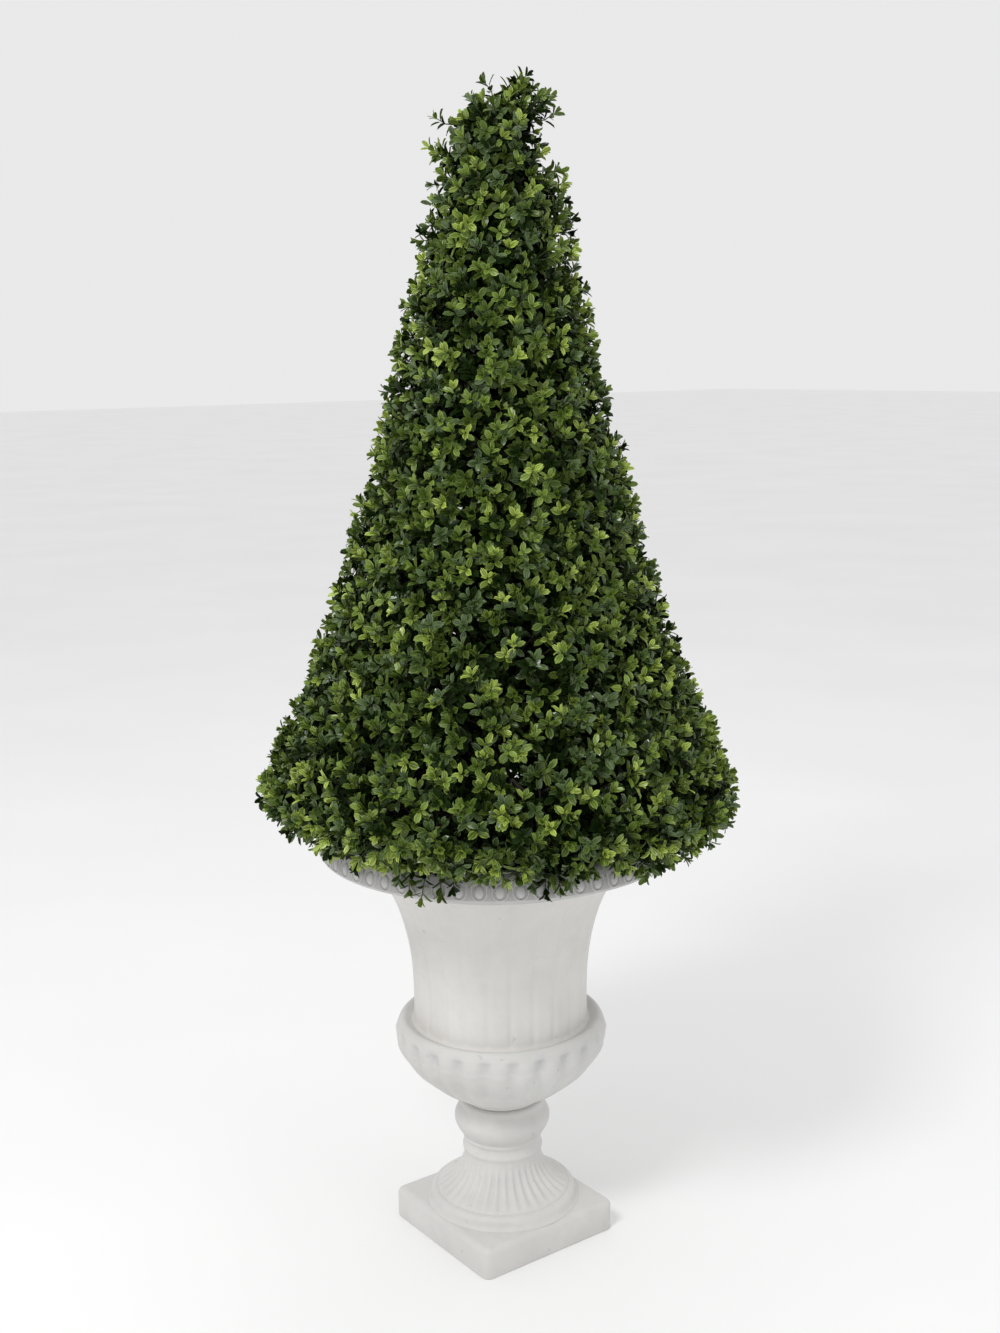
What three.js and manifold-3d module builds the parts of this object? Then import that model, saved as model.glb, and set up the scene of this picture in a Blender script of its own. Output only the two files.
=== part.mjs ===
// Artificial boxwood cone topiary standing in a white footed urn.
// Millimetres, +Z up. The origin is the middle of the plinth's flat underside,
// with the plinth's sides along X and Y.
import * as THREE from "three";
import { mergeVertices } from "three/addons/utils/BufferGeometryUtils.js";
import Module from "manifold-3d";

const wasm = await Module();
wasm.setup();

// ---- driving dimensions ----
const GAP = 0.3; // clearance between touching pieces
const TOTAL_HEIGHT = 1220; // floor to the topmost leaf

// urn
const PLINTH_SIDE = 173;
const PLINTH_HEIGHT = 34;
const PLINTH_CORNER = 9; // corner radius in plan
const PLINTH_EDGE = 7; // rounding of the top edge
const RING_RADIUS = 80; // torus moulding at the bottom of the foot
const NECK_RADIUS = 41.2;
const KNOP_RADIUS = 52.4;
const FOOT_TOP = 149.7; // top of the knop, where the bowl sits
const FOOT_FLUTES = 36;
const BOWL_RADIUS = 113.6;
const BOWL_TOP = 244; // flat ledge that carries the bell
const BOWL_LOBES = 24;
const BELL_RADIUS = 93; // straight lower part of the bell
const BELL_FLARE_START = 285; // height where the bell starts to open
const BELL_TOP = 428;
const BELL_TOP_RADIUS = 158;
const WALL = 8; // wall of the bell
const LIP_RADIUS = 189; // outermost circle of the rolled lip
const LIP_INNER_RADIUS = 146;
const LIP_TOP = 463.5;
const FILL_TOP = 446; // foam filling that holds the stem
const URN_SEGMENTS = 40; // the same round the bell, lip and filling, so that their gap is even

// stem
const STEM_TOP = 1168;
const STEM_RADIUS = 11;
const STEM_TIP_RADIUS = 3;
const STEM_FLARE = 5; // extra radius at the filling
const CROWN_LEAN = 11; // how far the top leans from the axis
const LEAN_DIRECTION = new THREE.Vector2(0.81, -0.59);

// crown
const SKIRT_BOTTOM = 464.2;
const SKIRT_HEM_RADIUS = 195; // edge of the flat underside, just outside the lip
const SKIRT_RADIUS = 253; // widest circle
const SKIRT_WIDEST = 509; // its height
const CROWN_TIP_RADIUS = 42; // blunt top of the cone
const SKIRT_SWEEP = 72; // how much of the widest radius is the outward sweep of the skirt
const MASS_CUTS = [SKIRT_BOTTOM, 566, 706, 866, 1040, TOTAL_HEIGHT];
const UNEVENNESS = 5;

// ---- materials ----
const white = { color: 0xd6d4d0, roughness: 0.55, metalness: 0 };
const paleGrey = { color: 0xcbc9c6, roughness: 0.6, metalness: 0 };
const bark = { color: 0x3d2c1d, roughness: 0.9, metalness: 0 };
const moss = { color: 0x2e2a1c, roughness: 0.95, metalness: 0 };
const leaf = { color: 0x37561f, roughness: 0.6, metalness: 0 };
const tipLeaf = { color: 0x426a26, roughness: 0.6, metalness: 0 };

/** Welds a geometry's shared corners and drops the slivers left at the poles. */
function welded(geometry) {
  geometry.deleteAttribute("normal");
  geometry.deleteAttribute("uv");
  const merged = mergeVertices(geometry, 1e-3);
  const kept = [];
  const index = merged.index.array;
  for (let i = 0; i < index.length; i += 3) {
    const [a, b, c] = [index[i], index[i + 1], index[i + 2]];
    if (a !== b && b !== c && c !== a) kept.push(a, b, c);
  }
  merged.setIndex(kept);
  return merged;
}

/** Solid turned about the vertical axis from [radius, height] pairs. */
function turned(profile, segments) {
  const points = profile.map(([radius, height]) => new THREE.Vector2(radius, height));
  const lathe = new THREE.LatheGeometry(points, segments);
  lathe.rotateX(Math.PI / 2);
  return welded(lathe);
}

/** Moves every corner of a geometry by a rule that gets and changes a Vector3. */
function reshaped(geometry, rule) {
  const place = geometry.attributes.position;
  const corner = new THREE.Vector3();
  for (let i = 0; i < place.count; i += 1) {
    corner.fromBufferAttribute(place, i);
    rule(corner);
    place.setXYZ(i, corner.x, corner.y, corner.z);
  }
  return geometry;
}

/** Scallops a turned solid between two heights, deepest in the middle of the band. */
function scalloped(geometry, count, depth, low, high, leastRadius) {
  return reshaped(geometry, (corner) => {
    const radius = Math.hypot(corner.x, corner.y);
    if (corner.z <= low || corner.z >= high || radius < leastRadius) return;
    const fade = Math.sin((Math.PI * (corner.z - low)) / (high - low));
    const angle = Math.atan2(corner.y, corner.x);
    const groove = 0.5 - 0.5 * Math.cos(count * angle);
    const scale = (radius - depth * fade * groove) / radius;
    corner.x *= scale;
    corner.y *= scale;
  });
}

/** Converts a closed geometry into a manifold solid. */
function solid(geometry) {
  return new wasm.Manifold(
    new wasm.Mesh({
      numProp: 3,
      vertProperties: new Float32Array(geometry.attributes.position.array),
      triVerts: new Uint32Array(geometry.index.array),
    }),
  );
}

/** Converts a manifold solid back into a three.js geometry. */
function geometryOf(manifold) {
  const mesh = manifold.getMesh();
  const geometry = new THREE.BufferGeometry();
  geometry.setAttribute("position", new THREE.BufferAttribute(mesh.vertProperties, 3));
  geometry.setIndex(new THREE.BufferAttribute(mesh.triVerts, 1));
  return geometry;
}

/** One named piece with its own material. */
function piece(name, geometry, look) {
  geometry.computeVertexNormals();
  const mesh = new THREE.Mesh(geometry, new THREE.MeshStandardMaterial(look));
  mesh.name = name;
  return mesh;
}

// ---- urn ----
/** Square slab with rounded corners and a rounded top edge, flat underneath. */
function plinth() {
  const half = PLINTH_SIDE / 2 - PLINTH_EDGE;
  const corner = PLINTH_CORNER;
  const plan = new THREE.Shape();
  plan.moveTo(-half + corner, -half);
  plan.lineTo(half - corner, -half);
  plan.absarc(half - corner, -half + corner, corner, -Math.PI / 2, 0);
  plan.lineTo(half, half - corner);
  plan.absarc(half - corner, half - corner, corner, 0, Math.PI / 2);
  plan.lineTo(-half + corner, half);
  plan.absarc(-half + corner, half - corner, corner, Math.PI / 2, Math.PI);
  plan.lineTo(-half, -half + corner);
  plan.absarc(-half + corner, -half + corner, corner, Math.PI, 1.5 * Math.PI);
  const slab = new THREE.ExtrudeGeometry(plan, {
    depth: PLINTH_HEIGHT - PLINTH_EDGE,
    bevelThickness: PLINTH_EDGE,
    bevelSize: PLINTH_EDGE,
    bevelSegments: 3,
    curveSegments: 3,
  });
  const below = new THREE.BoxGeometry(2 * PLINTH_SIDE, 2 * PLINTH_SIDE, 40);
  below.translate(0, 0, -20);
  return geometryOf(solid(welded(slab)).subtract(solid(welded(below))));
}

/** Torus moulding, fluted flare, ringed neck and knop in one turned piece. */
function foot() {
  const bottom = PLINTH_HEIGHT + GAP;
  const ring = [
    [RING_RADIUS - 2.5, bottom],
    [RING_RADIUS, 39.5],
    [RING_RADIUS - 1.5, 45.5],
    [RING_RADIUS - 6, 48.5],
  ];
  const flare = [];
  const flareSteps = 4;
  for (let i = 0; i <= flareSteps; i += 1) {
    const t = i / flareSteps;
    flare.push([NECK_RADIUS + 1.4 + 31 * (1 - t) ** 2.2, 49.5 + 37.5 * t]);
  }
  const neck = [
    [NECK_RADIUS + 1.9, 96.5],
    [NECK_RADIUS, 101],
    [NECK_RADIUS + 3.2, 111.5],
    [KNOP_RADIUS - 2.2, 121],
    [KNOP_RADIUS, 129],
    [KNOP_RADIUS - 3, 137],
    [NECK_RADIUS + 1.8, 144],
    [NECK_RADIUS + 1.8, FOOT_TOP],
  ];
  const profile = [[0, bottom], ...ring, ...flare, ...neck, [0, FOOT_TOP]];
  return scalloped(turned(profile, FOOT_FLUTES * 2), FOOT_FLUTES, 2.4, 49, 88, NECK_RADIUS);
}

/** Gadrooned bowl with a rounded shoulder and a shallow ledge on top. */
function bowl() {
  const bottom = FOOT_TOP + GAP;
  const profile = [[0, bottom], [43, bottom], [43.5, 155], [47.5, 159.5]];
  const steps = 7;
  for (let i = 1; i <= steps; i += 1) {
    const radius = THREE.MathUtils.lerp(47.5, BOWL_RADIUS, Math.sin((i / steps) * Math.PI * 0.5));
    const run = (radius - 47.5) / (BOWL_RADIUS - 47.5);
    profile.push([radius, 159.5 + 38 * run ** 1.35 + 29.5 * (1 - Math.sqrt(1 - run * run))]);
  }
  profile.push([BOWL_RADIUS - 0.9, 235], [BOWL_RADIUS - 3.8, 242], [BOWL_RADIUS - 8.5, BOWL_TOP + 3.5]);
  profile.push([BOWL_RADIUS - 14, BOWL_TOP + 3], [BELL_RADIUS + 4, BOWL_TOP], [0, BOWL_TOP]);
  return scalloped(turned(profile, BOWL_LOBES * 2), BOWL_LOBES, 4, 166, 237, 60);
}

/** Outer radius of the bell at a height. */
function bellRadius(height) {
  const t = Math.max(0, (height - BELL_FLARE_START) / (BELL_TOP - BELL_FLARE_START));
  return BELL_RADIUS + 36 * t ** 1.9 + (BELL_TOP_RADIUS - BELL_RADIUS - 36) * t ** 9;
}

/** Heights up the bell, closer together where it opens. */
function bellHeights(low, high) {
  const heights = [low, BELL_FLARE_START];
  for (const share of [0.3, 0.55, 0.75, 0.88]) {
    heights.push(THREE.MathUtils.lerp(BELL_FLARE_START, BELL_TOP, share));
  }
  heights.push(high);
  return heights;
}

/** Bell-shaped wall, open at the top and bottom. */
function bell() {
  const low = BOWL_TOP + GAP;
  const outer = bellHeights(low, BELL_TOP).map((height) => [bellRadius(height), height]);
  const inner = outer.map(([radius, height]) => [radius - WALL, height]).reverse();
  return turned([...outer, ...inner, outer[0]], URN_SEGMENTS);
}

/** Rolled lip, resting on the bell. */
function lip() {
  const bottom = BELL_TOP + GAP;
  const profile = [
    [LIP_INNER_RADIUS, bottom],
    [BELL_TOP_RADIUS + 5, bottom],
    [LIP_RADIUS - 5, 434],
    [LIP_RADIUS - 1.5, 436.5],
    [LIP_RADIUS, 442],
    [LIP_RADIUS - 1, 449],
    [LIP_RADIUS - 5, 457],
    [LIP_RADIUS - 12, 462],
    [LIP_RADIUS - 20, LIP_TOP],
    [LIP_INNER_RADIUS + 6, LIP_TOP],
    [LIP_INNER_RADIUS, bottom],
  ];
  return turned(profile, URN_SEGMENTS);
}

/** Foam filling of the bell, with its flat top just below the lip. */
function filling() {
  const low = BOWL_TOP + GAP;
  const side = bellHeights(low, BELL_TOP).map((height) => [bellRadius(height) - WALL - GAP, height]);
  const neck = [LIP_INNER_RADIUS - GAP, BELL_TOP + GAP];
  const top = [LIP_INNER_RADIUS - GAP, FILL_TOP];
  return turned([[0, low], ...side, neck, top, [0, FILL_TOP]], URN_SEGMENTS);
}

// ---- plant ----
/** Leans a corner away from the axis, in proportion to its height above the filling. */
function lean(corner) {
  const t = Math.max(0, (corner.z - FILL_TOP) / (TOTAL_HEIGHT - FILL_TOP));
  corner.x += LEAN_DIRECTION.x * CROWN_LEAN * t;
  corner.y += LEAN_DIRECTION.y * CROWN_LEAN * t;
}

/** Tapering stem with a small flare at the filling, optionally fattened by a clearance. */
function stem(clearance) {
  const low = FILL_TOP + GAP;
  const profile = [[0, low - clearance]];
  const steps = 8;
  for (let i = 0; i <= steps; i += 1) {
    const t = i / steps;
    const taper = THREE.MathUtils.lerp(STEM_RADIUS, STEM_TIP_RADIUS, t);
    const flare = STEM_FLARE * Math.exp(-14 * t);
    const height = THREE.MathUtils.lerp(low, STEM_TOP, t);
    const radius = taper + flare + clearance;
    profile.push([radius, i === 0 ? height - clearance : height]);
  }
  profile.push([0, STEM_TOP + 2 + clearance]);
  return reshaped(turned(profile, 16), lean);
}

/** Radius of the crown's outline at a height. */
function crownRadius(height) {
  if (height < SKIRT_WIDEST) {
    const t = (height - SKIRT_BOTTOM) / (SKIRT_WIDEST - SKIRT_BOTTOM);
    return SKIRT_HEM_RADIUS + (SKIRT_RADIUS - SKIRT_HEM_RADIUS) * Math.sqrt(1 - (1 - t) ** 2);
  }
  const t = (height - SKIRT_WIDEST) / (TOTAL_HEIGHT - SKIRT_WIDEST);
  const sweep = SKIRT_SWEEP * Math.exp(-t / 0.28);
  const cone = (SKIRT_RADIUS - CROWN_TIP_RADIUS - SKIRT_SWEEP) * (1 - t);
  const round = t > 0.94 ? Math.sqrt(Math.max(0, 1 - ((t - 0.94) / 0.06) ** 2)) : 1;
  return (CROWN_TIP_RADIUS + cone + sweep) * Math.max(round, 0.22);
}

/** Gentle swelling and hollowing of the clipped surface. */
function swelling(angle, height) {
  const broad = Math.sin(3 * angle + height / 70) * Math.cos(height / 47);
  const oval = Math.sin(2 * angle - height / 90 + 0.8);
  const close = Math.sin(6 * angle - height / 31 + 1.3) * Math.cos(height / 19 + 0.6);
  return UNEVENNESS * (0.4 * broad + 0.3 * oval + 0.5 * close);
}

/** One band of the crown between two heights, uneven outside, cut round the stem. */
function foliage(low, high, rings) {
  const bottom = low === SKIRT_BOTTOM ? low : low + GAP / 2;
  const top = high === TOTAL_HEIGHT ? high : high - GAP / 2;
  const profile = [[0, bottom]];
  for (let i = 0; i <= rings; i += 1) {
    const height = THREE.MathUtils.lerp(bottom, top, i / rings);
    profile.push([crownRadius(height), height]);
  }
  profile.push([0, top]);
  const band = reshaped(turned(profile, 32), (corner) => {
    const radius = Math.hypot(corner.x, corner.y);
    if (radius > 15 && corner.z > SKIRT_BOTTOM) {
      const scale = (radius + swelling(Math.atan2(corner.y, corner.x), corner.z)) / radius;
      corner.x *= scale;
      corner.y *= scale;
    }
    lean(corner);
  });
  return geometryOf(solid(band).subtract(solid(stem(GAP))));
}

const group = new THREE.Group();
group.name = "boxwood_cone_topiary";
group.add(piece("urn_plinth", plinth(), white));
group.add(piece("urn_foot", foot(), white));
group.add(piece("urn_bowl", bowl(), white));
group.add(piece("urn_bell", bell(), white));
group.add(piece("urn_lip", lip(), paleGrey));
group.add(piece("potting_filling", filling(), moss));
group.add(piece("stem", stem(0), bark));
const massNames = ["foliage_skirt", "foliage_lower", "foliage_middle", "foliage_upper", "foliage_top"];
const massRings = [7, 5, 6, 6, 8];
massNames.forEach((name, i) => {
  const look = i === 4 ? tipLeaf : leaf;
  group.add(piece(name, foliage(MASS_CUTS[i], MASS_CUTS[i + 1], massRings[i]), look));
});

export default group;
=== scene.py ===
# %% [markdown]
# # An artificial boxwood cone in a white urn
#
# The real thing is a clipped cone made of moulded leaf sprays, pushed into a foam
# filling inside a cast urn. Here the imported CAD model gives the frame: where the plinth,
# bowl, bell, lip and crown are. Every visible surface is then made again, finer.

import math

import bpy
import numpy as np
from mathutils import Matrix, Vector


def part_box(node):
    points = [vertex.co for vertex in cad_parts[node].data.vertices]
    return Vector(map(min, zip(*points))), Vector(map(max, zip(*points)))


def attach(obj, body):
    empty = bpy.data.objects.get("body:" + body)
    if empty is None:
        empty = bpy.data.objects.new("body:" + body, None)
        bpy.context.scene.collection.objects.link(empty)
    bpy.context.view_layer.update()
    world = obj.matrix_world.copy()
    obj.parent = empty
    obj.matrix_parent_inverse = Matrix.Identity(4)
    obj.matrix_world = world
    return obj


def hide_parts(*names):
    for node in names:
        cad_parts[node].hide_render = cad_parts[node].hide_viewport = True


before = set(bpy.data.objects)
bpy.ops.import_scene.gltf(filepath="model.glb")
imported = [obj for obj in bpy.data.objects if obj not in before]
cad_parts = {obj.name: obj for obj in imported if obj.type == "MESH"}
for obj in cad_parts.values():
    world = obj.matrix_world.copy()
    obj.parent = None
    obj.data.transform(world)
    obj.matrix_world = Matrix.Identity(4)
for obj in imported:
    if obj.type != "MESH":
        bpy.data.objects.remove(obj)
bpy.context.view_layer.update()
MM = 0.001
PLANT_NODES = ["foliage_skirt", "foliage_lower", "foliage_middle", "foliage_upper", "foliage_top"]

# %% [markdown]
# ## Small helpers
#
# An operator works on everything that is selected, so each piece starts by deselecting
# all. Turned shapes start as one point that is extruded along its outline and then spun.

# %% Selecting and finishing
def deselect():
    if bpy.context.object and bpy.context.object.mode != "OBJECT":
        bpy.ops.object.mode_set(mode="OBJECT")
    bpy.ops.object.select_all(action="DESELECT")


def edit(piece):
    """Makes one piece active and opens it in edit mode, with nothing selected in it."""
    deselect()
    bpy.context.view_layer.objects.active = piece
    piece.select_set(True)
    bpy.ops.object.mode_set(mode="EDIT")
    bpy.ops.mesh.select_all(action="DESELECT")


def pick(piece, wanted, kind="VERT"):
    """Selects the points or faces of the piece in edit mode that a rule on their place accepts."""
    bpy.ops.object.mode_set(mode="OBJECT")
    mesh = piece.data
    mesh.vertices.foreach_set("select", np.zeros(len(mesh.vertices), bool))
    mesh.edges.foreach_set("select", np.zeros(len(mesh.edges), bool))
    mesh.polygons.foreach_set("select", np.zeros(len(mesh.polygons), bool))
    parts = mesh.vertices if kind == "VERT" else mesh.polygons
    places = np.zeros(len(parts) * 3)
    parts.foreach_get("co" if kind == "VERT" else "center", places)
    chosen = wanted(places.reshape(-1, 3))
    parts.foreach_set("select", chosen)
    bpy.ops.object.mode_set(mode="EDIT")
    bpy.ops.mesh.select_mode(type=kind)
    return int(np.count_nonzero(chosen))


def settle(piece):
    """Puts the object's place into its mesh, so that the object is at the origin."""
    deselect()
    bpy.context.view_layer.objects.active = piece
    piece.select_set(True)
    bpy.ops.object.transform_apply(location=True, rotation=True, scale=True)


def smoothed(piece, levels, angle=None):
    """Rounds the piece with that many levels of Subdivision Surface, and shades it smooth."""
    deselect()
    bpy.context.view_layer.objects.active = piece
    piece.select_set(True)
    if levels:
        subdivision = piece.modifiers.new("rounding", "SUBSURF")
        subdivision.levels = levels
        subdivision.render_levels = levels
        bpy.ops.object.modifier_apply(modifier=subdivision.name)
    if angle is None:
        bpy.ops.object.shade_smooth()
    else:
        bpy.ops.object.shade_smooth_by_angle(angle=math.radians(angle))


def shown(piece, material_slot, material, *nodes):
    """Hands a finished piece to the frame, with its finish and the CAD nodes it stands for."""
    piece.data.materials.clear()
    piece.data.materials.append(material)
    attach(piece, "root")
    if nodes:
        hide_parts(*nodes)
    print(piece.name, len(piece.data.polygons), "faces")


# %% Turning a shape from its outline
def turned(name, outline, steps):
    """A piece spun about the vertical axis from (radius, height) pairs in metres."""
    deselect()
    bpy.ops.mesh.primitive_plane_add(size=MM, location=(0, 0, 0))
    piece = bpy.context.object
    piece.name = name
    bpy.ops.object.mode_set(mode="EDIT")
    bpy.ops.mesh.select_mode(type="VERT")
    bpy.ops.mesh.select_all(action="SELECT")
    bpy.ops.mesh.merge(type="CENTER")
    radius, height = outline[0]
    bpy.ops.transform.translate(value=(radius, 0, height))
    for next_radius, next_height in outline[1:]:
        step = (next_radius - radius, 0, next_height - height)
        bpy.ops.mesh.extrude_region_move(TRANSFORM_OT_translate={"value": step})
        radius, height = next_radius, next_height
    bpy.ops.mesh.select_all(action="SELECT")
    bpy.ops.mesh.spin(steps=steps, angle=math.tau, center=(0, 0, 0), axis=(0, 0, 1))
    bpy.ops.mesh.select_all(action="SELECT")
    bpy.ops.mesh.remove_doubles(threshold=0.01 * MM)
    bpy.ops.mesh.normals_make_consistent(inside=False)
    bpy.ops.object.mode_set(mode="OBJECT")
    return piece


def bearing(places):
    """Angle of each place round the axis, from 0 to a full turn."""
    return np.arctan2(places[:, 1], places[:, 0]) % math.tau


def columns(places, count, phase, of):
    """True for places in one column of each repeat, where a repeat is `of` columns wide."""
    pitch = math.tau / (count * of)
    return np.rint(bearing(places) / pitch).astype(int) % of == phase


def sink_columns(piece, count, of, phase, depth, low, high, least_radius=0):
    """Moves one column of points per repeat inwards between two heights, as a flute or groove."""
    edit(piece)
    chosen = pick(
        piece,
        lambda at: columns(at, count, phase, of)
        & (at[:, 2] > low)
        & (at[:, 2] < high)
        & (np.hypot(at[:, 0], at[:, 1]) > least_radius),
    )
    bpy.ops.transform.shrink_fatten(value=-depth)
    bpy.ops.object.mode_set(mode="OBJECT")
    return chosen


# %% [markdown]
# ## Finishes
#
# A finish is a small network of shader nodes. `Value` wraps a socket so that sums can be
# written as plain expressions, and `Finish.node` adds any other node.

# %% Shader arithmetic
class Value:
    """A socket that carries one number, with arithmetic that adds Math nodes."""

    def __init__(self, finish, socket):
        self.finish = finish
        self.socket = socket

    def math(self, operation, first, second=None, clamp=False):
        sent = [first] if second is None else [first, second]
        return self.finish.node(
            "ShaderNodeMath", {"operation": operation, "use_clamp": clamp}, dict(enumerate(sent))
        )

    def __add__(self, other):
        return self.math("ADD", self, other)

    __radd__ = __add__

    def __sub__(self, other):
        return self.math("SUBTRACT", self, other)

    def __rsub__(self, other):
        return self.math("SUBTRACT", other, self)

    def __mul__(self, other):
        return self.math("MULTIPLY", self, other)

    __rmul__ = __mul__

    def positive(self):
        return self.math("ABSOLUTE", self)

    def clamped(self):
        return self.math("ADD", self, 0.0, clamp=True)


class Finish:
    """A material and its node network."""

    def __init__(self, name):
        self.material = bpy.data.materials.new(name)
        self.material.use_nodes = True
        self.tree = self.material.node_tree
        self.shader = self.tree.nodes["Principled BSDF"]

    def node(self, kind, settings=None, sent=None, out=0):
        """Adds a node, sets it up, joins or fills its sockets, and gives one output."""
        made = self.tree.nodes.new(kind)
        for name, value in (settings or {}).items():
            if name == "stops":
                self.set_stops(made.color_ramp, value)
            else:
                setattr(made, name, value)
        for key, value in (sent or {}).items():
            self.send(made.inputs[key], value)
        return Value(self, made.outputs[out])

    def set_stops(self, ramp, stops):
        while len(ramp.elements) < len(stops):
            ramp.elements.new(0.5)
        for element, (position, colour) in zip(ramp.elements, stops):
            element.position = position
            element.color = (*colour, 1.0)

    def send(self, socket, value):
        if isinstance(value, Value):
            self.tree.links.new(value.socket, socket)
        else:
            socket.default_value = value

    def surface(self, **sockets):
        """Sets the shader's sockets; a name's underscores stand for spaces."""
        for name, value in sockets.items():
            self.send(self.shader.inputs[name.replace("_", " ")], value)
        return self.material

    def place(self):
        return self.node("ShaderNodeTexCoord", out="Object")

    def noise(self, scale, detail=4.0, roughness=0.55, out=0):
        sent = {"Vector": self.place(), "Scale": scale, "Detail": detail, "Roughness": roughness}
        return self.node("ShaderNodeTexNoise", {}, sent, out=out)

    def ramp(self, factor, stops):
        return self.node("ShaderNodeValToRGB", {"stops": stops}, {"Fac": factor})

    def mix(self, factor, first, second, blend="MIX"):
        settings = {"data_type": "RGBA", "blend_type": blend}
        return self.node("ShaderNodeMix", settings, {0: factor, 6: first, 7: second}, out=2)

    def bump(self, height, strength, distance):
        sent = {"Height": height, "Strength": strength, "Distance": distance}
        return self.node("ShaderNodeBump", {}, sent)


# %% [markdown]
# ### The urn's finish
#
# The urn is cast from resin and stone powder and painted a flat white that has aged: a
# few warm and cool clouds, and tiny pits left by air bubbles, which are darker.
# The clouds are broad noise, and the pits are the low end of a fine noise. The plinth and
# foot, the bell, the bowl and the lip get slightly different whites: the bell's is warmer,
# and lighter as painted light for the shade it stands in under the crown's hem; the bowl's
# is a little darker and cooler; the lip's is greyer, painted shade from the foliage above
# it. Painted shade also darkens the grooves between the bowl's lobes, in patches. A cosine
# of the angle round the axis finds those grooves, so the painted shade follows the shape
# at any size.

# %% Urn finish
BOWL_LOBES = 24
GROOVE_SHADE_HEIGHT = 233.5 * MM
GROOVE_SHADE_REACH = 11 * MM


def groove_shade(finish, grooves, height, reach):
    """Mask for painted shade: 1 in the grooves of a lobed band at one height, fading to 0 between and away
    from them.
    """
    place = finish.place()
    x, y, z = (finish.node("ShaderNodeSeparateXYZ", {}, {0: place}, out=axis) for axis in range(3))
    turn = x.math("ARCTAN2", y, x)
    in_groove = x.math("COSINE", turn * grooves, clamp=True)
    near = (1.0 - (z - height).positive() * (1 / reach)).clamped()
    return in_groove * near


def cast_white(name, light, dark, band=None):
    """Aged white casting between two tones: clouds, scuffs, darker pits, and painted shade in a band's
    grooves.
    """
    finish = Finish(name)
    clouds = finish.noise(11.0, 4.0, 0.6)
    grain = finish.noise(420.0, 3.0)
    pits = finish.noise(130.0, 1.0, 0.3)
    pit_mask = finish.ramp(pits, [(0.0, (1, 1, 1)), (0.19, (1, 1, 1)), (0.235, (0, 0, 0))])
    wear = finish.noise(27.0, 6.0, 0.7)
    wear_mask = finish.ramp(wear, [(0.0, (0, 0, 0)), (0.50, (0, 0, 0)), (0.80, (1, 1, 1))])
    tint = finish.noise(4.0, 2.0)
    base = finish.ramp(clouds, [(0.30, dark), (0.70, light)])
    warmed = finish.mix(tint * 0.30, base, (0.66, 0.625, 0.575, 1))
    scuffed = finish.mix(wear_mask * 0.35, warmed, (*(0.86 * part for part in dark), 1))
    darkened = finish.mix(pit_mask * 0.30, scuffed, (0.36, 0.35, 0.33, 1))
    if band:
        # Painted shade in the grooves of the lobed band, in patches where the wear noise is high.
        painted_groove_shade = groove_shade(finish, *band) * wear
        darkened = finish.mix(painted_groove_shade * 0.7, darkened, (0.40, 0.405, 0.42, 1))
    relief = grain * 0.15 - pit_mask * 0.8 + wear * 0.7 + clouds * 0.8
    return finish.surface(
        Base_Color=darkened,
        Roughness=0.46 + 0.16 * wear,
        Normal=finish.bump(relief, 0.35, 1.0 * MM),
        Specular_IOR_Level=0.42,
    )


URN_WHITE = cast_white("aged white casting", (0.665, 0.66, 0.65), (0.575, 0.57, 0.56))
# The bell's white is warmer, and lighter as painted light for the shade the bell stands in under the crown's
# hem.
BELL_WHITE_PAINTED_LIGHTER = cast_white("warm white casting painted lighter", (0.700, 0.687, 0.670), (0.612, 0.597, 0.575))
# The bowl's white carries painted shade in the grooves between its lobes.
BOWL_WHITE_AND_GROOVE_SHADE = cast_white(
    "cool white casting with painted groove shade", (0.632, 0.632, 0.622), (0.55, 0.55, 0.54), (BOWL_LOBES, GROOVE_SHADE_HEIGHT, GROOVE_SHADE_REACH)
)
# The lip and its egg-and-dart band are greyer: painted shade from the foliage above them.
LIP_GREY_PAINTED_SHADE = cast_white("lip casting greyed by painted shade", (0.535, 0.535, 0.53), (0.44, 0.44, 0.44))
# Darker still: painted shade in the sunk ground behind the eggs.
PAINTED_SHADE_BEHIND_EGGS = cast_white("painted shade behind the eggs", (0.38, 0.38, 0.38), (0.30, 0.30, 0.30))

# %% [markdown]
# ## The urn
#
# A campana urn is a stack of mouldings on one axis. Each one is spun from its outline, and
# its flutes are made by moving every few columns of points inwards before rounding.

# %% Urn places, read from the frame
plinth_low, plinth_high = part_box("urn_plinth")
foot_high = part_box("urn_foot")[1]
bowl_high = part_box("urn_bowl")[1]
bell_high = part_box("urn_bell")[1]
lip_low, lip_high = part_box("urn_lip")
PLINTH_SIDE = plinth_high[0] - plinth_low[0]
PLINTH_TOP = plinth_high[2]
RING_RADIUS = foot_high[0]
BOWL_RADIUS = bowl_high[0]
BELL_TOP_RADIUS = bell_high[0]
LIP_RADIUS = lip_high[0]
print("plinth", PLINTH_SIDE, "ring", RING_RADIUS, "bowl", BOWL_RADIUS, "lip", LIP_RADIUS)

# %% [markdown]
# ### Plinth
#
# A square slab with soft corners and a well rounded top edge. A cube is squared to size,
# its upright edges are bevelled first, then the edge round its top, and last, more finely,
# the edge round its underside.

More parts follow.
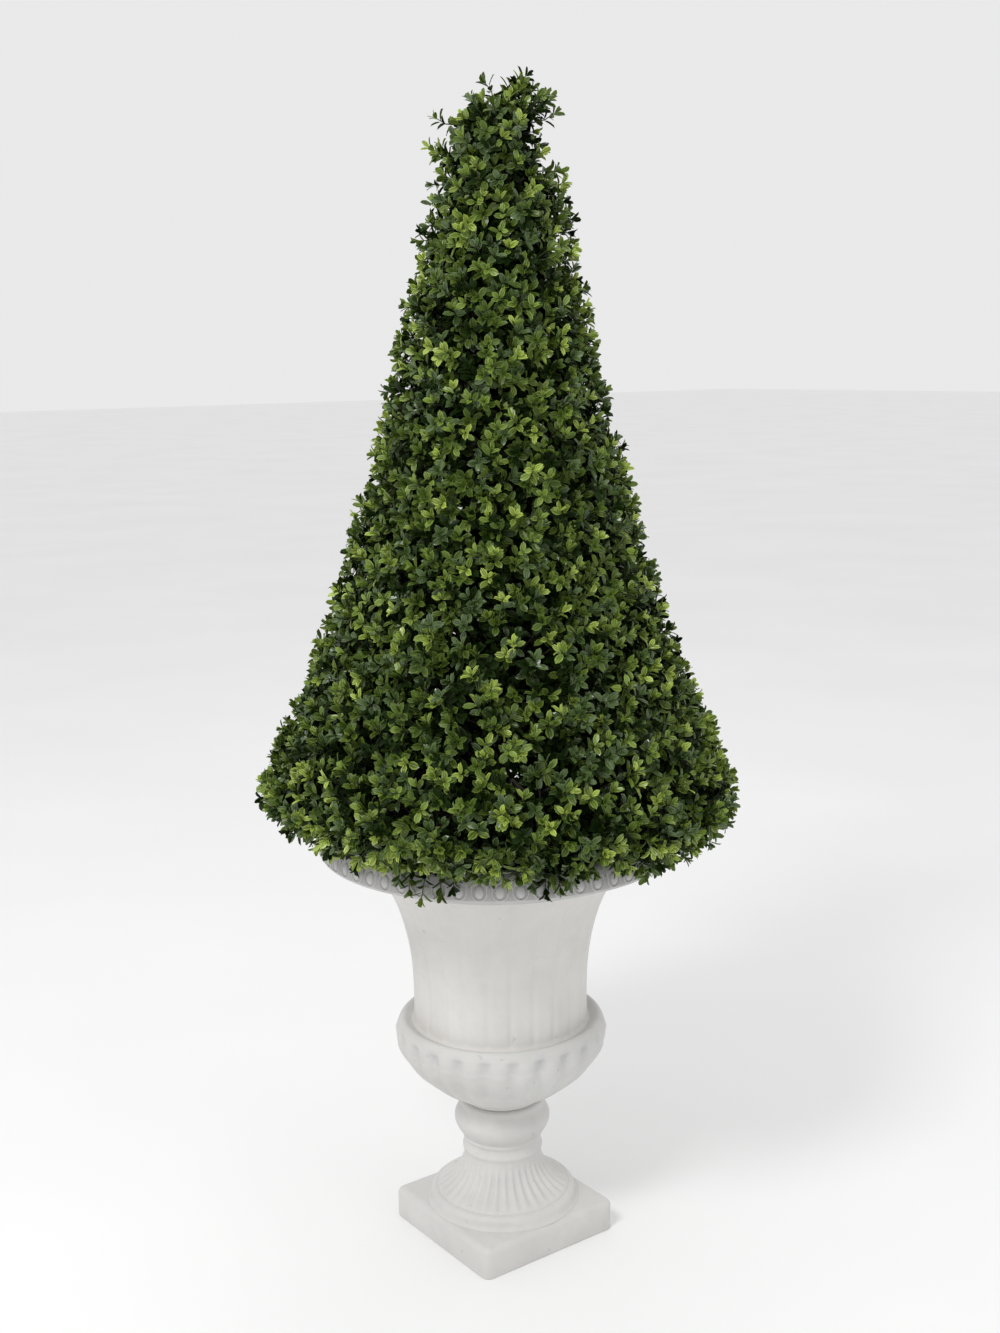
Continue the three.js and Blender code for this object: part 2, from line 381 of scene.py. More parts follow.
# %% Plinth
def plinth():
    deselect()
    bpy.ops.mesh.primitive_cube_add(size=1, location=(0, 0, PLINTH_TOP / 2))
    piece = bpy.context.object
    piece.name = "cast_plinth"
    piece.scale = (PLINTH_SIDE, PLINTH_SIDE, PLINTH_TOP)
    settle(piece)
    mesh = piece.data
    corners = np.array([vertex.co[:] for vertex in mesh.vertices])
    ends = np.array([edge.vertices[:] for edge in mesh.edges])
    upright = np.abs(corners[ends[:, 0], 2] - corners[ends[:, 1], 2]) > PLINTH_TOP / 2
    edit(piece)
    bpy.ops.mesh.select_mode(type="EDGE")
    bpy.ops.object.mode_set(mode="OBJECT")
    mesh.edges.foreach_set("select", upright)
    bpy.ops.object.mode_set(mode="EDIT")
    bpy.ops.mesh.bevel(offset=9 * MM, segments=5, affect="EDGES")
    pick(piece, lambda at: at[:, 2] > PLINTH_TOP - 0.1 * MM, "FACE")
    bpy.ops.mesh.region_to_loop()
    bpy.ops.mesh.bevel(offset=7 * MM, segments=5, affect="EDGES")
    pick(piece, lambda at: at[:, 2] < 0.1 * MM, "FACE")
    bpy.ops.mesh.region_to_loop()
    bpy.ops.mesh.bevel(offset=1.5 * MM, segments=2, affect="EDGES")
    bpy.ops.object.mode_set(mode="OBJECT")
    smoothed(piece, 0, 32)
    return piece


shown(plinth(), "urn", URN_WHITE, "urn_plinth")

# %% [markdown]
# ### Foot
#
# A torus ring, a trumpet flare with 36 flutes, a neck with two fine beads, and a knop. The
# flutes die out at both ends, so they are sunk in two steps of height, and the ridges
# between them are raised a little.

# %% Foot
NECK_RADIUS = 41.2 * MM
FOOT_FLUTES = 36


def foot_outline():
    base = PLINTH_TOP
    ring = [
        (0, base - 4 * MM),
        (RING_RADIUS + 4.2 * MM, base - 4 * MM),
        (RING_RADIUS + 4.2 * MM, base + 0.3 * MM),
        (RING_RADIUS + 2.0 * MM, base + 1.5 * MM),
        (RING_RADIUS + 0.5 * MM, base + 3.6 * MM),
        (RING_RADIUS, base + 6.4 * MM),
        (RING_RADIUS - 0.9 * MM, base + 9.8 * MM),
        (RING_RADIUS - 3.4 * MM, base + 12.6 * MM),
        (RING_RADIUS - 6.6 * MM, base + 13.6 * MM),
        (RING_RADIUS - 8.0 * MM, base + 13.2 * MM),
    ]
    flare_low = base + 14.6 * MM
    flare = []
    steps = 9
    for i in range(steps + 1):
        t = i / steps
        flare.append((NECK_RADIUS + (1.2 + 30.5 * (1 - t) ** 2.2) * MM, flare_low + 38 * MM * t))
    neck = [
        (1.0, 91.2), (2.4, 93.2), (2.5, 96.0), (1.0, 98.0), (0.0, 101.0), (0.1, 104.5),
        (1.6, 106.2), (1.9, 108.2), (1.1, 110.2), (3.4, 112.4), (6.8, 117.0), (9.8, 123.0),
        (11.2, 129.0), (10.2, 134.2), (7.4, 139.4), (4.8, 143.0), (3.7, 147.0), (3.7, 151.5),
    ]
    upper = [(NECK_RADIUS + radius * MM, height * MM) for radius, height in neck]
    return ring + flare + upper + [(0, 151.5 * MM)]


def foot():
    piece = turned("fluted_foot", foot_outline(), FOOT_FLUTES * 4)
    low, high = PLINTH_TOP + 15.2 * MM, PLINTH_TOP + 51 * MM
    sink_columns(piece, FOOT_FLUTES, 4, 0, 1.4 * MM, low, high)
    sink_columns(piece, FOOT_FLUTES, 4, 0, 1.2 * MM, low + 3 * MM, high - 10 * MM)
    sink_columns(piece, FOOT_FLUTES, 4, 2, -1.1 * MM, low, high - 6 * MM)
    smoothed(piece, 1)
    return piece


shown(foot(), "urn", URN_WHITE, "urn_foot")

# %% [markdown]
# ### Bowl
#
# The bowl swells out under a rolled rim. Its 24 lobes are strongest just under the rim and
# fade downwards, so their grooves are sunk in three steps of height and their middles are
# raised a little. A shallow trough inside the rim carries the bell.

# %% Bowl
def bowl_outline():
    """Outline of the bowl: the lobed belly, the rolled rim, and the trough that the bell stands in."""
    inner = 47.5 * MM
    low = 159.5 * MM
    points = [(0, 149.6 * MM), (42.4 * MM, 149.8 * MM), (43.2 * MM, 153.5 * MM)]
    points.append((45.0 * MM, 157.5 * MM))
    steps = 12
    for i in range(steps):
        radius = inner + (BOWL_RADIUS - inner) * math.sin(i / steps * math.pi / 2)
        run = (radius - inner) / (BOWL_RADIUS - inner)
        rise = 38 * run**1.35 + 29.5 * (1 - math.sqrt(max(0.0, 1 - run * run)))
        points.append((radius, low + rise * MM))
    rim = [
        (1.3, 224.0), (0.3, 228.0), (0.0, 232.0), (0.5, 235.5), (1.3, 238.0), (2.0, 239.6),
        (3.4, 242.6), (5.2, 245.2), (7.2, 246.9), (9.4, 247.1), (11.4, 246.3), (13.6, 244.9),
        (16.6, 243.6), (19.6, 243.0),
    ]
    points += [(BOWL_RADIUS - from_edge * MM, height * MM) for from_edge, height in rim]
    return points + [(BOWL_RADIUS - 26 * MM, 242.6 * MM), (0, 242.6 * MM)]


def bowl():
    piece = turned("lobed_bowl", bowl_outline(), BOWL_LOBES * 4)
    belly = 60 * MM
    sink_columns(piece, BOWL_LOBES, 4, 0, 1.8 * MM, 166 * MM, 239 * MM, belly)
    sink_columns(piece, BOWL_LOBES, 4, 0, 2.2 * MM, 190 * MM, 237 * MM, belly)
    sink_columns(piece, BOWL_LOBES, 4, 0, 3.4 * MM, 214 * MM, 236.5 * MM, belly)
    sink_columns(piece, BOWL_LOBES, 4, 2, -1.4 * MM, 190 * MM, 234 * MM, belly)
    smoothed(piece, 1)
    return piece


shown(bowl(), "urn", BOWL_WHITE_AND_GROOVE_SHADE, "urn_bowl")

# %% [markdown]
# ### Bell
#
# The tall bell is straight low down and opens in one sweep to the lip. A small cove runs
# round its base, where it stands in the bowl's trough, and its flutes are so shallow that
# they show only as soft stripes.

# %% Bell
BELL_RADIUS = 93 * MM
BELL_FLARE_START = 285 * MM
BELL_FLUTES = 24
WALL = 8 * MM


def bell_radius(height):
    t = max(0.0, (height - BELL_FLARE_START) / (bell_high[2] - BELL_FLARE_START))
    return BELL_RADIUS + 36 * MM * t**1.9 + (BELL_TOP_RADIUS - BELL_RADIUS - 36 * MM) * t**9


def bell_outline():
    """Closed outline of the bell's wall, with a fine double bead under the lip."""
    low = 242.8 * MM
    shares = [0.12, 0.24, 0.36, 0.47, 0.57, 0.66, 0.74, 0.81, 0.87, 0.90]
    shares += [0.92, 0.935, 0.95, 0.965, 0.98, 1.0]
    beads = {0.92: 1.5 * MM, 0.95: 1.3 * MM}
    outer = [(BELL_RADIUS + 4.5 * MM, low - 1 * MM), (BELL_RADIUS + 3.2 * MM, low + 0.9 * MM)]
    outer += [(BELL_RADIUS + 1.2 * MM, low + 2.6 * MM), (BELL_RADIUS + 0.3 * MM, low + 5 * MM)]
    outer += [(BELL_RADIUS, low + 9 * MM), (BELL_RADIUS, 266 * MM), (BELL_RADIUS, BELL_FLARE_START)]
    for share in shares:
        height = BELL_FLARE_START + (bell_high[2] - BELL_FLARE_START) * share
        outer.append((bell_radius(height) + beads.get(share, 0), height))
    heights = [low + (bell_high[2] - low) * step / 8 for step in range(8, -1, -1)]
    inner = [(bell_radius(height) - WALL, height) for height in heights]
    return outer + inner + outer[:1]


def bell():
    piece = turned("fluted_bell", bell_outline(), BELL_FLUTES * 6)
    low, high, outside = 247 * MM, 414 * MM, BELL_RADIUS - 2 * MM
    sink_columns(piece, BELL_FLUTES, 6, 0, 2.0 * MM, low, high, outside)
    sink_columns(piece, BELL_FLUTES, 6, 1, -0.5 * MM, low, high, outside)
    sink_columns(piece, BELL_FLUTES, 6, 5, -0.5 * MM, low, high, outside)
    smoothed(piece, 1)
    return piece


shown(bell(), "urn", BELL_WHITE_PAINTED_LIGHTER, "urn_bell")

# %% [markdown]
# ### Lip
#
# The lip rolls out over the bell, greyer than the rest of the urn: painted shade from the
# foliage above it. A fine double bead runs under it, and its round outer face carries the
# egg-and-dart band. The sunk ground behind the eggs is darker still, painted shade in that
# recess, so the ring of faces there gets a second, darker finish.

# %% Lip
BAND_LOW = lip_low[2] + 9.6 * MM
BAND_HEIGHT = 16.5 * MM


def lip_outline():
    bottom = lip_low[2] - 0.4 * MM
    under = [(-43, 0), (-33.5, 0), (-29, -0.6), (-27.6, -2.2), (-25.6, -2.6), (-24.4, -1.0), (-23.4, 1.0)]
    under += [(-21.6, 1.2), (-20.4, 2.6), (-12, 4.6), (-5, 6.2), (-2.2, 7.4)]
    face = [(-0.6, 10), (0, 14), (-0.2, 19), (-1.6, 24), (-4.2, 28.6), (-7.6, 31.8), (-11.5, 33.6)]
    top = [(-15, 34.2), (-17, 35.2), (-20, 35.4), (-36, 35.2), (-40, 33.4), (-42, 29), (-43, 18), (-43, 0)]
    return [(LIP_RADIUS + inset * MM, bottom + rise * MM) for inset, rise in under + face + top]


def lip():
    piece = turned("rolled_lip", lip_outline(), 144)
    smoothed(piece, 1)
    return piece


def shade_the_ground(piece):
    """Gives the ring of faces behind the eggs its own darker finish: painted shade in the sunk ground."""
    piece.data.materials.append(PAINTED_SHADE_BEHIND_EGGS)
    edit(piece)
    pick(
        piece,
        lambda at: (at[:, 2] > BAND_LOW + 1 * MM)
        & (at[:, 2] < BAND_LOW + BAND_HEIGHT - 2 * MM)
        & (np.hypot(at[:, 0], at[:, 1]) > LIP_RADIUS - 12 * MM),
        "FACE",
    )
    piece.active_material_index = 1
    bpy.ops.object.material_slot_assign()
    bpy.ops.object.mode_set(mode="OBJECT")


rolled_lip = lip()
shown(rolled_lip, "urn", LIP_GREY_PAINTED_SHADE, "urn_lip")
shade_the_ground(rolled_lip)

# %% [markdown]
# ### Egg-and-dart band
#
# One egg sits in a U-shaped ridge, with a dart between it and the next. The motif is
# modelled once, lying flat, and each copy is laid on the lip's round face.

# %% One motif
EGGS = 60
EGG_PITCH = math.tau * LIP_RADIUS / EGGS


def motif():
    """An egg, its U-shaped ridge and a dart, standing up in the XZ plane and facing -Y."""
    deselect()
    egg_middle = (0, 0, 0.56 * BAND_HEIGHT)
    bpy.ops.mesh.primitive_uv_sphere_add(segments=10, ring_count=6, radius=1, location=egg_middle)
    egg = bpy.context.object
    egg.scale = (0.24 * EGG_PITCH, 1.9 * MM, 0.40 * BAND_HEIGHT)
    settle(egg)
    middle = 0.48 * BAND_HEIGHT
    bpy.ops.mesh.primitive_torus_add(
        major_segments=16, minor_segments=5, major_radius=0.37 * EGG_PITCH, minor_radius=0.95 * MM,
        location=(0, 0, middle), rotation=(math.pi / 2, 0, 0),
    )
    ridge = bpy.context.object
    settle(ridge)
    edit(ridge)
    pick(ridge, lambda at: at[:, 2] > middle + 0.2 * MM)
    bpy.ops.mesh.delete(type="VERT")
    bpy.ops.mesh.select_all(action="DESELECT")
    bpy.ops.mesh.select_mode(type="EDGE")
    bpy.ops.mesh.select_non_manifold()
    bpy.ops.mesh.extrude_region_move(TRANSFORM_OT_translate={"value": (0, 0, 0.5 * BAND_HEIGHT)})
    bpy.ops.object.mode_set(mode="OBJECT")
    bpy.ops.object.select_all(action="DESELECT")
    bpy.ops.mesh.primitive_cone_add(
        vertices=6, radius1=1.0 * MM, radius2=0.45 * MM, depth=0.78 * BAND_HEIGHT,
        location=(EGG_PITCH / 2, 0, 0.5 * BAND_HEIGHT),
    )
    dart = bpy.context.object
    dart.rotation_euler = (math.pi, 0, 0)
    settle(dart)
    for part in (egg, ridge, dart):
        part.select_set(True)
    bpy.context.view_layer.objects.active = egg
    bpy.ops.object.join()
    return egg


# %% The band
def band_radius(height):
    """Radius of the lip's round face at a height above its underside."""
    outline = [point for point in lip_outline() if point[0] > LIP_RADIUS - 16 * MM]
    radii = [point[0] for point in outline]
    heights = [point[1] for point in outline]
    return np.interp(height, heights, radii)


def band():
    one = motif()
    settle(one)
    source = one.data
    flat = np.zeros(len(source.vertices) * 3)
    source.vertices.foreach_get("co", flat)
    flat = flat.reshape(-1, 3)
    height = BAND_LOW + flat[:, 2]
    radius = band_radius(height) - flat[:, 1] - 0.2 * MM
    copies = []
    for i in range(EGGS):
        copy = one.copy()
        copy.data = source.copy()
        bpy.context.collection.objects.link(copy)
        angle = math.tau * i / EGGS + flat[:, 0] / LIP_RADIUS
        placed = np.stack([radius * np.cos(angle), radius * np.sin(angle), height], axis=1)
        copy.data.vertices.foreach_set("co", placed.ravel())
        copies.append(copy)
    deselect()
    for copy in copies:
        copy.select_set(True)
    bpy.context.view_layer.objects.active = copies[0]
    bpy.ops.object.join()
    piece = bpy.context.object
    piece.name = "egg_and_dart_band"
    bpy.data.objects.remove(one)
    edit(piece)
    bpy.ops.mesh.select_all(action="SELECT")
    bpy.ops.mesh.normals_make_consistent(inside=False)
    bpy.ops.object.mode_set(mode="OBJECT")
    smoothed(piece, 0)
    return piece


shown(band(), "urn", LIP_GREY_PAINTED_SHADE)

# %% [markdown]
# ## The stem and the filling
#
# Inside the crown a plain pole runs up from the foam filling. It shows only through gaps,
# but it gets bark ridges anyway: columns of points are sunk and the rest left proud.

# %% Bark and foam finishes
def bark_brown():
    finish = Finish("dull brown bark")
    ridges = finish.noise(160.0, 5.0, 0.7)
    base = finish.ramp(ridges, [(0.3, (0.013, 0.011, 0.006)), (0.75, (0.038, 0.031, 0.018))])
    return finish.surface(Base_Color=base, Roughness=0.9, Normal=finish.bump(ridges, 0.6, 1.0 * MM))


def foam_moss():
    finish = Finish("dark foam with moss")
    lumps = finish.noise(110.0, 6.0, 0.75)
    base = finish.ramp(lumps, [(0.35, (0.012, 0.010, 0.006)), (0.7, (0.050, 0.042, 0.020))])
    return finish.surface(Base_Color=base, Roughness=0.95, Normal=finish.bump(lumps, 0.8, 2.0 * MM))


BARK = bark_brown()
FOAM = foam_moss()

# %% Stem
stem_low, stem_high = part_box("stem")
fill_low, fill_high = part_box("potting_filling")
crown_low = np.array(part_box("foliage_skirt")[0])
crown_high = np.array(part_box("foliage_top")[1])
FILL_TOP = fill_high[2]
CROWN_TOP = crown_high[2]
CROWN_LEAN = np.array([0.81, -0.59]) * 9 * MM


def axis_at(height):
    """Middle of the crown at a height: the stem leans a little from the urn's axis."""
    share = np.clip((np.asarray(height, float) - FILL_TOP) / (CROWN_TOP - FILL_TOP), 0, 1)
    return share[..., None] * CROWN_LEAN


def leaned(piece):
    """Leans every point of a piece along the stem."""
    flat = np.zeros(len(piece.data.vertices) * 3)
    piece.data.vertices.foreach_get("co", flat)
    flat = flat.reshape(-1, 3)
    flat[:, :2] += axis_at(flat[:, 2])
    piece.data.vertices.foreach_set("co", flat.ravel())


def stem():
    steps = 30
    outline = [(0, stem_low[2] - 2 * MM)]
    for i in range(steps + 1):
        t = i / steps
        radius = (11 - 8 * t + 5 * math.exp(-14 * t)) * MM
        wobble = 0.35 * MM * math.sin(9.7 * i) * (1 - t)
        height = stem_low[2] + (stem_high[2] - stem_low[2]) * t - 2 * MM * (i == 0)
        outline.append((radius + wobble, height))
    outline.append((0, stem_high[2]))
    piece = turned("stem_with_bark", outline, 28)
    for phase, depth in ((0, 0.9), (3, 0.6)):
        sink_columns(piece, 4, 7, phase, depth * MM, stem_low[2], stem_high[2] - 60 * MM)
    leaned(piece)
    smoothed(piece, 1)
    return piece


shown(stem(), "stem", BARK, "stem")

# %% Filling
def filling():
    heights = np.linspace(fill_low[2], bell_high[2], 9)
    side = [(bell_radius(height) - WALL - 0.5 * MM, height) for height in heights]
    inner = fill_high[0] - 0.3 * MM
    top = [(inner, bell_high[2] + 0.5 * MM), (inner, FILL_TOP - 2 * MM)]
    top += [(inner * share, FILL_TOP - 0.6 * MM) for share in (0.98, 0.85, 0.7, 0.55, 0.4, 0.25, 0.14)]
    piece = turned("foam_filling", [(0, fill_low[2])] + side + top + [(0, FILL_TOP - 0.4 * MM)], 48)
    smoothed(piece, 0, 40)
    return piece


shown(filling(), "filling", FOAM, "potting_filling")

# %% [markdown]
# ## The crown
#
# A real artificial boxwood is made of moulded sprays. Wires leave the pole, fork into
# twigs, and each twig forks again into sprigs that are clipped where they reach the cone.
# A sprig carries opposite pairs of leaves, each pair turned a quarter from the last, and
# the pairs crowd into a rosette at its tip. The rule below has the same branches and a
# fixed seed, but it works from the outside in. The clipped outline says where tips may end,
# and each tip is joined back to the nearest twig, each twig to the nearest wire and each
# wire to the pole. That keeps the cone clipped, which growth from the pole would not.

# %% The clipped outline
rng = np.random.default_rng(41)
SKIRT_BOTTOM = crown_low[2]
SKIRT_WIDEST = SKIRT_BOTTOM + 45 * MM
SKIRT_RADIUS = 253 * MM
HEM_RADIUS = 195 * MM
TIP_RADIUS = 42 * MM
SKIRT_SWEEP = 72 * MM
LEAF_REACH = 7 * MM
LOOSE_ABOVE = 1.12


def crown_radius(height):
    """Radius of the clipped crown: a concave cone that flares into the skirt."""
    height = np.asarray(height, float)
    under = np.clip((height - SKIRT_BOTTOM) / (SKIRT_WIDEST - SKIRT_BOTTOM), 0, 1)
    turn_in = HEM_RADIUS + (SKIRT_RADIUS - HEM_RADIUS) * np.sqrt(1 - (1 - under) ** 2)
    t = np.clip((height - SKIRT_WIDEST) / (CROWN_TOP - SKIRT_WIDEST), 0, 1)
    cone = TIP_RADIUS + SKIRT_SWEEP * np.exp(-t / 0.28) + (SKIRT_RADIUS - TIP_RADIUS - SKIRT_SWEEP) * (1 - t)
    round_top = np.sqrt(np.clip(1 - (np.clip(t - 0.94, 0, 1) / 0.06) ** 2, 0.03, 1))
    return np.where(height < SKIRT_WIDEST, turn_in, cone * round_top)


def outline_table():
    """The outline as closely spaced points: from the pot's rim under the skirt, then up to the top."""
    under_radius = np.linspace(178 * MM, HEM_RADIUS, 40)
    heights = np.linspace(SKIRT_BOTTOM, CROWN_TOP, 900)
    top_radius = np.linspace(crown_radius(CROWN_TOP), 0, 12)
    radius = np.concatenate([under_radius, crown_radius(heights), top_radius])
    height = np.concatenate([np.full(40, SKIRT_BOTTOM), heights, np.full(12, CROWN_TOP)])
    return radius, height


def scattered(count, jitter):
    """Evenly scattered places over the whole outline, with their outward directions."""
    radius, height = outline_table()
    run = np.hypot(np.diff(radius), np.diff(height))
    area = np.concatenate([[0], np.cumsum(run * (radius[1:] + radius[:-1]) / 2)])
    share = (np.arange(count) + 0.5 + rng.normal(0, jitter * 8, count)) / count
    at = np.interp(np.clip(share, 0, 1) * area[-1], area, np.arange(len(area)))
    index = np.clip(at.astype(int), 0, len(area) - 2)
    r = np.interp(at, np.arange(len(radius)), radius)
    z = np.interp(at, np.arange(len(height)), height)
    slope = np.stack([np.diff(radius), np.diff(height)], axis=1)[index]
    slope /= np.linalg.norm(slope, axis=1, keepdims=True) + 1e-12
    angle = np.arange(count) * math.pi * (3 - math.sqrt(5)) + rng.normal(0, jitter, count)
    outward = np.stack([slope[:, 1] * np.cos(angle), slope[:, 1] * np.sin(angle), -slope[:, 0]], axis=1)
    places = np.stack([r * np.cos(angle), r * np.sin(angle), z], axis=1)
    return places, outward


def unit(vectors):
    return vectors / (np.linalg.norm(vectors, axis=-1, keepdims=True) + 1e-12)


# %% Growing wires and twigs
WIRES = 170
TWIGS = 900
SPRIGS = 4450
INNER_SPRIGS = 1050
SAG_BEARING = math.radians(-36)


def nearest(points, targets):
    """Index of the closest target for each point, worked out in blocks."""
    found = np.empty(len(points), int)
    for start in range(0, len(points), 512):
        block = points[start : start + 512]
        found[start : start + 512] = np.argmin(((block[:, None] - targets[None]) ** 2).sum(2), axis=1)
    return found


def inset(places, outward, depth):
    """Moves places inwards from the outline, never past the pole."""
    reach = np.hypot(places[:, 0], places[:, 1])
    moved = places - outward * depth[:, None]
    held = np.clip(np.hypot(moved[:, 0], moved[:, 1]), np.minimum(reach, 6 * MM), reach)
    moved[:, :2] = unit(places[:, :2]) * held[:, None]
    return moved


def at_most_share(depth, places, share):
    """Limits a depth to a share of the distance from the axis."""
    return np.minimum(depth, share * np.hypot(places[:, 0], places[:, 1]))


wire_skin, wire_out = scattered(WIRES, 0.06)
wire_end = inset(wire_skin, wire_out, at_most_share(95 * MM, wire_skin, 0.5))
twig_skin, twig_out = scattered(TWIGS, 0.05)
twig_depth = 48 * MM + rng.normal(0, 5 * MM, TWIGS)
twig_end = inset(twig_skin, twig_out, at_most_share(twig_depth, twig_skin, 0.55))
wire_end[:, 2] = np.minimum(wire_end[:, 2], CROWN_TOP - 70 * MM)
twig_end[:, 2] = np.minimum(twig_end[:, 2], CROWN_TOP - 50 * MM)
twig_wire = nearest(twig_skin, wire_skin)
twig_swell = rng.normal(0, 3.0 * MM, TWIGS)
print(WIRES, "wires", TWIGS, "twigs")

# %% [markdown]
# ### Where the sprigs end
#
# Most sprigs end at the clipped outline and the rest a little below it. Sprigs of one
# twig gather towards its middle, which leaves the dark gaps between sprays. The hem has
# sagged lower on one side, and the blunt top slants down on the other. A few loose sprigs
# escape the clipping: they hang over the urn's lip and stand out round the top, where some
# more close the thin patch behind it. They are set one by one, each at a bearing in
# degrees with its drop below the hem, or its distance from the axis and height, in
# millimetres.

# %% Sprig tips
LOOSE_HEM = [
    (-156, 12), (-152, 19), (-148, 24), (-143, 20), (-139, 12), (-117, 10), (-113, 20), (-109, 16),
    (-84, 12), (-66, 16), (-58, 22), (-47, 20), (-30, 18), (-12, 10), (12, 12), (47, 9), (88, 12),
    (120, 8), (160, 14), (-172, 9),
]
LOOSE_TOP = [
    (144, 66, 1146), (150, 60, 1172), (-36, 57, 1176), (-38, 30, 1212), (-52, 24, 1208), (-20, 38, 1200),
    (-60, 16, 1204), (-70, 30, 1202), (135, 12, 1206), (40, 60, 1160), (75, 50, 1172), (100, 24, 1186),
    (-100, 52, 1164), (-160, 58, 1150), (-44, 48, 1192), (150, 26, 1190), (-28, 54, 1190),
    (45, 30, 1186), (25, 40, 1176), (65, 40, 1172), (48, 44, 1160), (30, 22, 1192), (80, 26, 1184),
    (58, 50, 1150), (34, 52, 1148), (46, 56, 1136), (30, 58, 1128), (62, 58, 1128), (46, 60, 1120),
    (18, 56, 1138), (74, 54, 1140), (52, 36, 1168), (38, 36, 1172),
]


def loose_sprigs():
    """Tips and directions of the sprigs that stand out from the clipped shape."""
    around, drop = np.array(LOOSE_HEM, float).T
    around = np.radians(around)
    radius = rng.uniform(193, 203, len(around))
    level = SKIRT_BOTTOM / MM - drop
    hem = np.stack([radius * np.cos(around), radius * np.sin(around), level], axis=1) * MM
    hem_aim = np.stack([0.4 * np.cos(around), 0.4 * np.sin(around), np.full(len(around), -1.0)], axis=1)
    around, radius, height = np.array(LOOSE_TOP, float).T
    around = np.radians(around)
    top = np.stack([radius * np.cos(around), radius * np.sin(around), height], axis=1) * MM
    top_aim = np.stack([0.9 * np.cos(around), 0.9 * np.sin(around), np.full(len(around), 0.8)], axis=1)
    return np.concatenate([hem, top]), unit(np.concatenate([hem_aim, top_aim]))


def sagged(places):
    """Settles the hem lower on one side, and slants the blunt top down on the other."""
    along = places[:, 0] * math.cos(SAG_BEARING) + places[:, 1] * math.sin(SAG_BEARING)
    reach = np.hypot(places[:, 0], places[:, 1])
    side = along / np.maximum(reach, MM)
    near_hem = np.clip((0.545 - places[:, 2]) / 0.07, 0, 1)
    outside = np.clip((reach - 190 * MM) / (20 * MM), 0, 1)
    near_top = np.clip((places[:, 2] - 1.14) / 0.08, 0, 1)
    moved = places.copy()
    moved[:, 2] -= (6 + 15 * side) * MM * near_hem * outside
    moved[:, 2] -= np.maximum(15 * MM - 0.4 * along, 0) * near_top
    return moved


def clipped_sprigs():
    """Tips, directions and depths of the sprigs that end at or under the clipped outline."""
    skin, out = scattered(SPRIGS, 0.035)
    kept = (skin[:, 2] < LOOSE_ABOVE) | (rng.random(SPRIGS) < 0.62)
    kept &= (skin[:, 2] < 1.20) | (np.hypot(skin[:, 0], skin[:, 1]) > 14 * MM)
    skin, out = sagged(skin[kept]), out[kept]
    count = len(skin)
    twig = nearest(skin, twig_skin)
    spread = skin - twig_skin[twig]
    skin = skin - 0.15 * spread
    layer = rng.random(count)
    choices = [rng.normal(0, 2.6, count), rng.uniform(7, 17, count), rng.uniform(17, 36, count)]
    depth = np.select([layer < 0.58, layer < 0.82], choices[:2], choices[2]) * MM
    loose = np.clip((skin[:, 2] - 1.08) / 0.1, 0, 1)
    depth = depth + LEAF_REACH + twig_swell[twig] + loose * rng.normal(1, 6, count) * MM
    aim = out + 0.30 * unit(spread) + np.array([0, 0, 0.26]) + rng.normal(0, 0.36, (count, 3))
    return inset(skin, out, at_most_share(depth, skin, 0.8)), unit(aim), depth


def inner_sprigs():
    """Sprigs far inside, which close the view through the crown below its loose top."""
    skin, out = scattered(INNER_SPRIGS, 0.05)
    depth = rng.uniform(36, 78, INNER_SPRIGS) * MM
    aim = out + rng.normal(0, 0.6, (INNER_SPRIGS, 3))
    kept = skin[:, 2] < 1.10
    tips = inset(skin, out, at_most_share(depth, skin, 0.75))
    return tips[kept], unit(aim[kept]), depth[kept]


clipped_tip, clipped_aim, clipped_depth = clipped_sprigs()
inner_tip, inner_aim, inner_depth = inner_sprigs()
loose_tip, loose_aim = loose_sprigs()
sprig_tip = np.concatenate([clipped_tip, inner_tip, loose_tip])
sprig_aim = np.concatenate([clipped_aim, inner_aim, loose_aim])
sprig_depth = np.concatenate([clipped_depth, inner_depth, np.full(len(loose_tip), LEAF_REACH)])
ALL_SPRIGS = len(sprig_tip)
sprig_twig = nearest(sprig_tip, 0.6 * twig_skin + 0.4 * twig_end)
print(ALL_SPRIGS, "sprigs")

# %% [markdown]
# ### One leaf
#
# A boxwood leaf is a small blunt oval, folded a little along its midrib. It is modelled
# once as a flat strip of faces, then folded and bent by moving its points.

# %% One leaf
LEAF_ROWS = [(0.0, 0.0, 0.0), (0.25, 0.165, 0.22), (0.5, 0.255, 0.53), (0.75, 0.185, 0.84), (1.0, 0.0, 1.0)]


